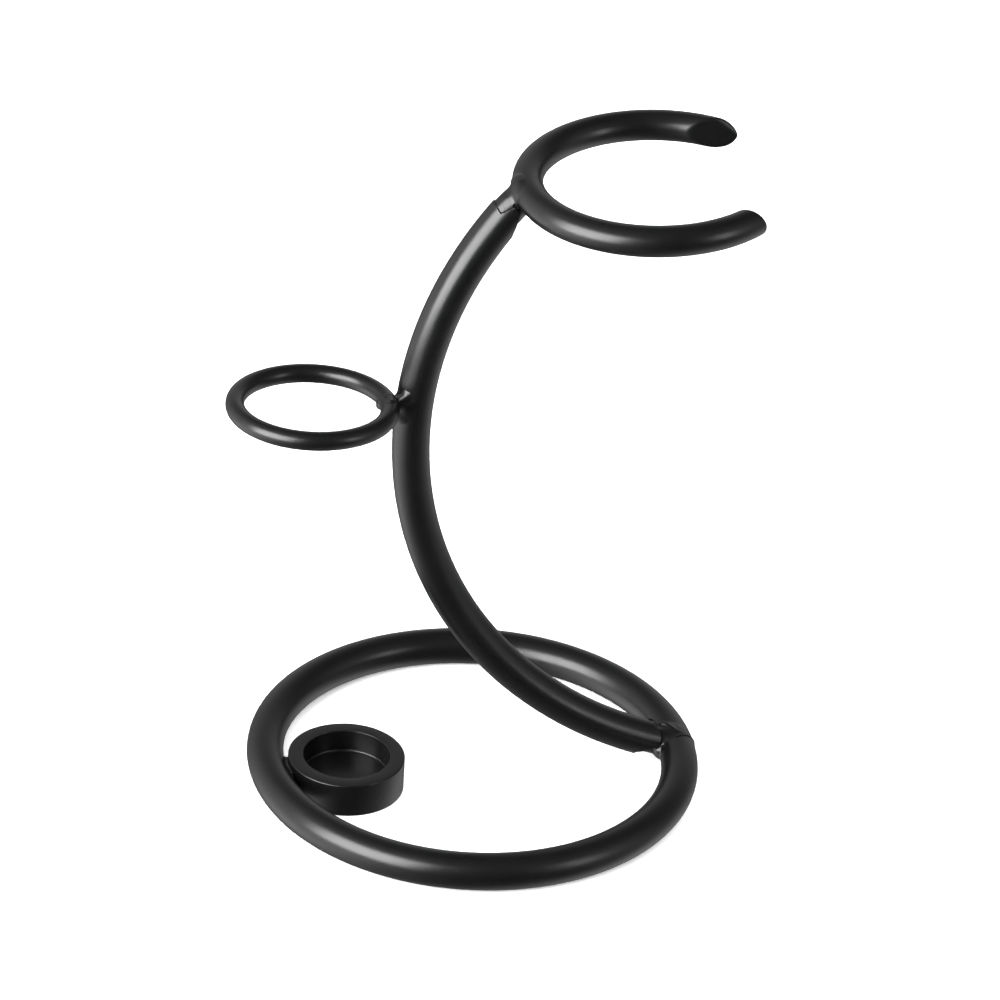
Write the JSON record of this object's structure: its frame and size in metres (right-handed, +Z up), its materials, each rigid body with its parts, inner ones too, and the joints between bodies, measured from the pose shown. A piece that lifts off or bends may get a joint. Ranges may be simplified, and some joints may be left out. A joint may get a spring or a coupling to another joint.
{
  "type": "hair dryer holder",
  "caption": "Welded table stand: a tube base ring, an arched stem, an open ring that cradles a hair dryer, and a small ring and cup for a styling iron.",
  "frame": {"origin": "centre of the base ring, on the table", "axes": "+Z up; +X from the centre to the foot of the stem, which is also the way the cradle's mouth points; the stem lies in the plane y = 0"},
  "size_m": [0.2197, 0.196, 0.2932],
  "materials": {
    "powder_coat": "satin black powder coat",
    "coated_weld": "satin black powder coat over a rough weld bead",
    "coated_plug": "satin black powder coat"
  },
  "bodies": {
    "root": {"base_ring": "powder_coat", "base_ring_butt_weld": "coated_weld", "stem_tube": "powder_coat", "foot_plug": "coated_plug", "head_plug": "coated_plug", "foot_weld": "coated_weld", "head_weld": "coated_weld", "dryer_cradle": "powder_coat", "iron_ring": "powder_coat", "iron_ring_butt_weld": "coated_weld", "iron_ring_weld": "coated_weld", "cup_wall": "powder_coat", "cup_floor": "powder_coat", "cup_tack_welds": "coated_weld"}
  },
  "joints": []
}
